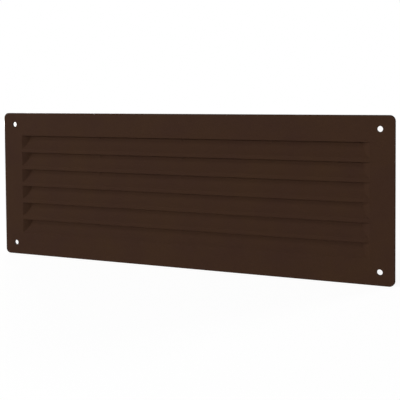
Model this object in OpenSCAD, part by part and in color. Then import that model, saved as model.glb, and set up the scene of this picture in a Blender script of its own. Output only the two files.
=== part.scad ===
// Louvred door vent grille, a moulded plastic plate that is screwed over a cut-out in a door.
// The plate stands upright: X runs along it, Z is up, and its front faces -Y.
// The origin is the middle of the plate's back face, which lies on the door.

/* [Plate] */
// Length of the plate
plate_w = 360; // [300:1:460]
// Height of the plate
plate_h = 130; // [110:1:200]
// Thickness of the plate
plate_t = 2; // [1.5:0.1:3]
// Radius of the plate's corners, seen from the front
corner_r = 4.5; // [2:0.5:8]
// Rounding of the plate's front edge
edge_r = 0.6; // [0.3:0.1:1]

/* [Screw holes] */
// Diameter of the four screw holes
hole_d = 4.5; // [3:0.1:6]
// Distance of the hole centres from the plate's left and right edges
hole_inset_x = 11.5; // [8:0.5:14]
// Distance of the hole centres from the plate's top and bottom edges
hole_inset_z = 10.5; // [8:0.5:14]

/* [Louvres] */
// Number of louvres, one above the other
louvre_count = 6; // [2:1:7]
// Distance from one louvre to the next
louvre_pitch = 15.4; // [13:0.1:18.5]
// Height of a louvre's opening in the plate
louvre_h = 11.9; // [8:0.1:13.5]
// How far the middle of the louvres lies below the middle of the plate
louvre_drop = 0.3; // [0:0.1:1]
// Width of the plain border left of and right of the louvres
side_border = 19.4; // [16:0.1:40]
// Depth of a louvre's upper edge behind the front of the plate
louvre_depth = 4.8; // [3.5:0.1:8]
// How far a louvre's sloping ends run inwards over that depth
end_run = 7.1; // [5:0.1:9.5]
// How far those ends bow out in the middle of their slope
end_bow = 0.5; // [0.2:0.1:0.8]
// Thickness of a louvre, measured straight back from the front
louvre_t = 1.6; // [1.2:0.1:2.5]
// How far the louvre's face is hollowed in the middle of its height
louvre_hollow = 0.5; // [0.1:0.1:0.8]
// Rounding of the lip over each louvre
lip_r = 0.5; // [0.2:0.1:0.9]

/* [Ribs] */
// Thickness of the upright ribs where they stand on the plate
rib_t = 2.6; // [2:0.1:4]
// Thickness of the ribs at their rear edge, which is less so that they leave the mould
rib_crest_t = 1.8; // [1.2:0.1:2]
// Height of the ribs behind the louvres' upper edges
rib_spine = 2.3; // [1:0.1:5]
// How far the ribs run past the louvres, above and below
rib_over = 3; // [2:0.5:6]
// How much shorter the ribs are at their rear edge, at each end
rib_taper = 1.5; // [0:0.1:1.8]
// How far the ribs stand in front of the louvres' upper edges, under the lips
rib_nose = 0.7; // [0.5:0.1:2]

/* [Back] */
// How far the back is relieved behind the louvres, so that only the border bears on the door
relief_depth = 0.4; // [0.2:0.1:0.8]
// How far the relief runs past the ribs, and past the louvres' ends
relief_over = 1; // [0.5:0.5:2]
// Radius of the relief's corners
relief_r = 3; // [1:0.5:5]

/* [Hidden] */
$fn = 64;
// Extra length of a cutting shape past the face that it opens
cut = 1;
plastic = "#39291f";
louvre_names = [for (i = [1:louvre_count]) str("louvre_", i)];
rib_names = ["rib_left", "rib_centre", "rib_right"];

front_y = -plate_t;
// The space in front of a louvre is drawn from here, so that it clears the louvre's own sheet
pocket_front_y = front_y - louvre_t - cut;
opening_w = plate_w - 2 * side_border;
field_h = (louvre_count - 1) * louvre_pitch + louvre_h;
rib_pitch = opening_w / (len(rib_names) + 1);
// The louvres' upper edges lie between these two planes behind the plate
louvre_edge_y = front_y + louvre_depth;
rib_out = louvre_edge_y + louvre_t + rib_spine;
rib_foot = field_h / 2 + rib_over;
relief_w = opening_w + 2 * relief_over;
relief_h = 2 * (rib_foot + relief_over);

// Radius of an arc from a to b whose middle bows out from the straight line by this much
function bow_r(a, b, bow) = ((b - a) * (b - a) / 4 + bow * bow) / (2 * bow);

// Centre of that arc, on the right hand of the way from a to b
function bow_centre(a, b, bow) =
    (a + b) / 2 + (bow_r(a, b, bow) - bow) * [b[1] - a[1], a[0] - b[0]] / norm(b - a);

// Height of the lip over louvre i, counted down from the top
function lip_z(i) = field_h / 2 - louvre_drop - i * louvre_pitch;

// Middle of rib k along the plate, counted from the left
function rib_x(k) = (k + 1) * rib_pitch - opening_w / 2;

// Section across the plate: its back lies on the X axis, and both front corners are rounded
module bar_section(length) {
    translate([-length / 2, 0])
        square([length, plate_t - edge_r]);
    translate([edge_r - length / 2, 0])
        square([length - 2 * edge_r, plate_t]);
    for (side = [-1, 1])
        translate([side * (length / 2 - edge_r), plate_t - edge_r])
            circle(edge_r);
}

// A round corner of the plate, standing on the plate's back face
module corner_disc() {
    rotate([90, 0, 0])
        rotate_extrude() {
            square([corner_r, plate_t - edge_r]);
            square([corner_r - edge_r, plate_t]);
            translate([corner_r - edge_r, plate_t - edge_r])
                circle(edge_r);
        }
}

// The plate without its openings, with round corners and a rounded front edge
module plate_blank() {
    mirror([0, 1, 0])
        linear_extrude(plate_h - 2 * corner_r, center = true)
            bar_section(plate_w);
    rotate([180, -90, 0])
        linear_extrude(plate_w - 2 * corner_r, center = true)
            bar_section(plate_h);
    for (x = [-1, 1], z = [-1, 1])
        translate([x * (plate_w / 2 - corner_r), 0, z * (plate_h / 2 - corner_r)])
            corner_disc();
}

// The shallow relief in the plate's back, which takes the louvres and the ribs' feet
module back_relief() {
    flat = [relief_w, relief_h] - 2 * [relief_r, relief_r];
    rotate([90, 0, 0])
        translate([0, 0, -cut])
            linear_extrude(cut + relief_depth) {
                square([relief_w, flat[1]], center = true);
                square([flat[0], relief_h], center = true);
                for (x = [-1, 1], z = [-1, 1])
                    translate([x * flat[0], z * flat[1]] / 2)
                        circle(relief_r);
            }
}

// Section of a louvre opening through the plate, with the lip's front corner rounded off
module opening_section() {
    translate([front_y - cut, -louvre_h])
        square([plate_t + 2 * cut, louvre_h]);
    difference() {
        translate([front_y - cut, 0])
            square([cut + lip_r, lip_r]);
        translate([front_y + lip_r, lip_r])
            circle(lip_r);
    }
}

module louvre_opening() {
    rotate([90, 0, 90])
        linear_extrude(opening_w, center = true)
            opening_section();
}

// A disc whose edge runs through a and b and bows out between them
module bow_disc(a, b, bow) {
    translate(bow_centre(a, b, bow))
        circle(bow_r(a, b, bow), $fn = 180);
}

// Section of the space in front of a louvre, as far as the louvre's hollow face.
// Every side but the louvre's own is drawn this far past the opening.
module pocket_section(past) {
    intersection() {
        translate([pocket_front_y - past, -louvre_h - past])
            square([louvre_edge_y - pocket_front_y + past, louvre_h + 2 * past]);
        bow_disc([louvre_edge_y, 0], [front_y, -louvre_h], louvre_hollow);
    }
}

// Outline of that space seen from above: its bowed ends slope inwards behind the plate's front
module pocket_plan(past) {
    half = opening_w / 2;
    difference() {
        translate([-half - past, pocket_front_y - past])
            square([opening_w + 2 * past, louvre_edge_y - pocket_front_y + past]);
        for (side = [0, 1])
            mirror([side, 0])
                bow_disc([half, front_y], [half - end_run, louvre_edge_y], end_bow);
    }
}

// The space in front of a louvre, with its top at the lip
module pocket(past = 0) {
    intersection() {
        rotate([90, 0, 90])
            linear_extrude(opening_w + 2 * past, center = true)
                pocket_section(past);
        translate([0, 0, -louvre_h - past])
            linear_extrude(louvre_h + 2 * past)
                pocket_plan(past);
    }
}

// A louvre with its two sloping ends: a sheet of even depth behind that space
module louvre_shell() {
    difference() {
        translate([0, louvre_t, 0])
            pocket();
        pocket(cut);
    }
}

module face_plate() {
    color(plastic)
        difference() {
            plate_blank();
            back_relief();
            for (i = [0:louvre_count - 1])
                translate([0, 0, lip_z(i)])
                    louvre_opening();
            for (x = [-1, 1], z = [-1, 1])
                translate([x * (plate_w / 2 - hole_inset_x), cut, z * (plate_h / 2 - hole_inset_z)])
                    rotate([90, 0, 0])
                        cylinder(d = hole_d, h = plate_t + 2 * cut);
        }
}

module louvre(i) {
    color(plastic)
        translate([0, 0, lip_z(i)])
            louvre_shell();
}

// An upright rib before it is cut: its ends slope and it thins towards its rear edge
module rib_blank() {
    crest = rib_foot - rib_taper;
    intersection() {
        rotate([90, 0, 90])
            linear_extrude(rib_t, center = true)
                polygon([
                    [-relief_depth, -rib_foot],
                    [rib_out, -crest],
                    [rib_out, crest],
                    [-relief_depth, rib_foot]
                ]);
        linear_extrude(2 * rib_foot, center = true)
            polygon([
                [-rib_t / 2, -relief_depth],
                [rib_t / 2, -relief_depth],
                [rib_crest_t / 2, rib_out],
                [-rib_crest_t / 2, rib_out]
            ]);
    }
}

// A rib with a slot for each louvre that crosses it, set back in the openings
module back_rib(k) {
    nose_y = louvre_edge_y - rib_nose;
    color(plastic)
        difference() {
            translate([rib_x(k), 0, 0])
                rib_blank();
            for (i = [0:louvre_count - 1])
                translate([0, 0, lip_z(i)]) {
                    louvre_shell();
                    translate([rib_x(k) - rib_t, -cut, -louvre_h])
                        cube([2 * rib_t, cut + nose_y, louvre_h]);
                }
        }
}

face_plate();
for (i = [0:louvre_count - 1])
    louvre(i);
for (k = [0:len(rib_names) - 1])
    back_rib(k);
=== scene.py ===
"""Looks of a louvred door vent grille, moulded in one piece from dark brown plastic.

Metres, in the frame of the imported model: X along the plate, Z up, the front faces -Y.
"""

import math

import bpy
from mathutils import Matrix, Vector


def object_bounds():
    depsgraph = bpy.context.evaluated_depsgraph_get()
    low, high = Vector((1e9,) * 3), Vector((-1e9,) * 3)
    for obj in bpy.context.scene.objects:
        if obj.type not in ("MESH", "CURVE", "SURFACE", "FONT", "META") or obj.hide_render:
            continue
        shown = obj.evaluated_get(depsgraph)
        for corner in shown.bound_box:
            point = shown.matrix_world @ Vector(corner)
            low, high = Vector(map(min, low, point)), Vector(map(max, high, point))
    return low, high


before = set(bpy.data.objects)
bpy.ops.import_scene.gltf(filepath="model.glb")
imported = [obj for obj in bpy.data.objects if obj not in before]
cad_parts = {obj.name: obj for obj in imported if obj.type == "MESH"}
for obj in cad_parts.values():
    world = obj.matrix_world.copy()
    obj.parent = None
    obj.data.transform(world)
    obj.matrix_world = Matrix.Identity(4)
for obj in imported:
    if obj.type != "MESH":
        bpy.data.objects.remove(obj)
cad_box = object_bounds()


# Camera: to the right of the plate and just above its top edge, as the photograph was taken.
# It tilts down by only 2.5 degrees, and the view is shifted down for the rest, so that the
# plate's upright edges stay nearly upright in the picture.

camera_data = bpy.data.cameras.new("camera")
camera_data.sensor_width = 36.0
camera_data.lens = 75.55
camera_data.shift_y = -0.18
camera = bpy.data.objects.new("camera", camera_data)
camera.location = (0.3086, -0.6326, 0.0838)
# In degrees, where a tilt of 90 is level and a heading of 0 faces the plate squarely.
tilt = 87.497
roll = 0.401
heading = 24.623
camera.rotation_euler = [math.radians(angle) for angle in (tilt, roll, heading)]
bpy.context.scene.collection.objects.link(camera)
bpy.context.scene.camera = camera
bpy.context.scene.view_settings.view_transform = "Standard"


# The moulding: plate, louvres and ribs are one piece of ABS, coloured through in dark brown.
# The mould's front half is spark-eroded, which gives a fine satin grain with no clear
# reflections. Its rear half is only ground smooth, so the back is a little glossier.


def linear(hex_colour):
    """Linear colour with alpha from an sRGB hex value such as "#39291f"."""
    parts = [int(hex_colour[i : i + 2], 16) / 255 for i in (1, 3, 5)]
    return [p / 12.92 if p <= 0.04045 else ((p + 0.055) / 1.055) ** 2.4 for p in parts] + [1.0]


def add(tree, kind, settings=None, **inputs):
    """A new node. A setting is an attribute; an input is a value or another node's output.

    An input is called by its name, with _ for a space, or by its number, as in i2.
    """
    node = tree.nodes.new("ShaderNode" + kind)
    for name, value in (settings or {}).items():
        setattr(node, name, value)
    for name, value in inputs.items():
        numbered = name[1:].isdigit()
        socket = node.inputs[int(name[1:]) if numbered else name.replace("_", " ")]
        if isinstance(value, bpy.types.NodeSocket):
            tree.links.new(value, socket)
        else:
            socket.default_value = value
    return node


def new_material(name):
    """An empty node material with its output node."""
    material = bpy.data.materials.new(name)
    material.use_nodes = True
    material.node_tree.nodes.clear()
    return material, material.node_tree, material.node_tree.nodes.new("ShaderNodeOutputMaterial")


MM = 0.001
plastic, tree, output = new_material("abs_brown_satin_moulded")
coordinates = add(tree, "TexCoord")
place = coordinates.outputs["Object"]
# Nearly all of a noise pattern's values lie in this range.
noise_range = {"From_Min": 0.3, "From_Max": 0.7}

# The melt cools unevenly behind the louvres, which leaves faint darker and lighter areas.
mottle_width = 38 * MM
mottle = add(tree, "TexNoise", Vector=place, Scale=1 / mottle_width, Detail=3.0, Roughness=0.55)
tone = add(tree, "MapRange", Value=mottle.outputs["Fac"], **noise_range)
colour = add(
    tree,
    "Mix",
    {"data_type": "RGBA"},
    i0=tone.outputs["Result"],
    i6=linear("#372319"),
    i7=linear("#3a2618"),
)

# The eroded grain is about 0.15 mm wide. It is drawn at 0.6 mm, and deeper to match, so that it
# shows at this size. It covers what faces the front, where rear is 0. The sides have little of
# it, and the back, where rear is 1, has almost none.
grain_width = 0.6 * MM
grain_depth = 0.26 * MM
grain = add(tree, "TexNoise", Vector=place, Scale=1 / grain_width, Detail=2.0, Roughness=0.6)
facing = add(tree, "SeparateXYZ", Vector=coordinates.outputs["Normal"])
rear = add(tree, "MapRange", Value=facing.outputs["Y"], From_Min=-0.4, From_Max=0.1)
rear_roughness = 0.5
front_roughness = add(
    tree,
    "MapRange",
    Value=grain.outputs["Fac"],
    To_Min=0.76,
    To_Max=0.88,
    **noise_range,
)
roughness = add(
    tree,
    "Mix",
    {"data_type": "FLOAT"},
    i0=rear.outputs["Result"],
    i2=front_roughness.outputs["Result"],
    i3=rear_roughness,
)
grain_strength = add(tree, "MapRange", Value=rear.outputs["Result"], To_Min=1.0, To_Max=0.06)
bump = add(
    tree,
    "Bump",
    Strength=grain_strength.outputs["Result"],
    Distance=grain_depth,
    Height=grain.outputs["Fac"],
)

# ABS has an IOR of about 1.5. The grain scatters most of what the surface reflects, so the
# specular level is a fifth of the default.
shader = add(
    tree,
    "BsdfPrincipled",
    Base_Color=colour.outputs[2],
    Roughness=roughness.outputs[0],
    IOR=1.5,
    Specular_IOR_Level=0.1,
    Normal=bump.outputs["Normal"],
)
tree.links.new(shader.outputs["BSDF"], output.inputs["Surface"])

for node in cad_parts.values():
    node.data.materials.clear()
    node.data.materials.append(plastic)


# Studio: a sheet of white paper under the plate, which reaches past the view, and a white
# surround. The camera sees both as white, and a faint soft shadow stays on the paper.

floor_size = 6.0
bpy.ops.object.select_all(action="DESELECT")
bpy.ops.mesh.primitive_plane_add(size=floor_size, location=(0, 0, cad_box[0].z))
floor = bpy.context.object
floor.name = "floor"
paper, tree, output = new_material("white_studio_paper")
seen = add(tree, "LightPath").outputs["Is Camera Ray"]
sheet = add(tree, "BsdfDiffuse", Color=linear("#ececec"))
glow = add(tree, "Emission", Color=(1, 1, 1, 1), Strength=1.22)
glow_share = 0.75
share = add(tree, "Math", {"operation": "MULTIPLY"}, i0=seen, i1=glow_share)
blend = add(tree, "MixShader", i0=share.outputs[0], i1=sheet.outputs[0], i2=glow.outputs[0])
tree.links.new(blend.outputs[0], output.inputs["Surface"])
floor.data.materials.append(paper)

world = bpy.data.worlds.new("studio_surround")
bpy.context.scene.world = world
world.use_nodes = True
world.node_tree.nodes.clear()
tree = world.node_tree
seen = add(tree, "LightPath").outputs["Is Camera Ray"]
fill = add(tree, "Background", Color=(1, 1, 1, 1), Strength=0.02)
white = add(tree, "Background", Color=(1, 1, 1, 1), Strength=1.0)
blend = add(tree, "MixShader", i0=seen, i1=fill.outputs[0], i2=white.outputs[0])
output = tree.nodes.new("ShaderNodeOutputWorld")
tree.links.new(blend.outputs[0], output.inputs["Surface"])


# Lamps: softboxes round the plate. Most of the light comes from the front and the left, so that
# the left ends of the louvres, which slope back towards the right, are in shade. Two wide ones
# behind the plate light its back.

lamp_distance = 4.0
lamp_height = 0.35


def softbox(name, azimuth, elevation, level, width=0.6):
    """An area lamp aimed at the plate's middle. Azimuth 0 is in front of it, 90 on its right.

    Its level is how bright a white card would be that faces it, where 1 is white.
    """
    data = bpy.data.lights.new(name, "AREA")
    data.shape = "RECTANGLE"
    data.size = width
    data.size_y = lamp_height
    data.energy = level * (math.pi * lamp_distance) ** 2
    lamp = bpy.data.objects.new(name, data)
    a, e = math.radians(azimuth), math.radians(elevation)
    lamp.location = (
        lamp_distance * math.sin(a) * math.cos(e),
        -lamp_distance * math.cos(a) * math.cos(e),
        lamp_distance * math.sin(e),
    )
    lamp.rotation_euler = (math.radians(90 - elevation), 0, a)
    bpy.context.scene.collection.objects.link(lamp)


softbox("front", 2, 8, 0.48)
softbox("right_edge", 64, 8, 0.03)
softbox("left_edge", -66, 8, 0.25)
softbox("left", -40, 8, 0.15)
softbox("left_high", -54, 40, 0.09)
softbox("front_high", -24, 40, 0.13)
softbox("behind_left", -140, 8, 0.35, width=1.2)
softbox("behind_right", 150, 8, 0.35, width=1.2)
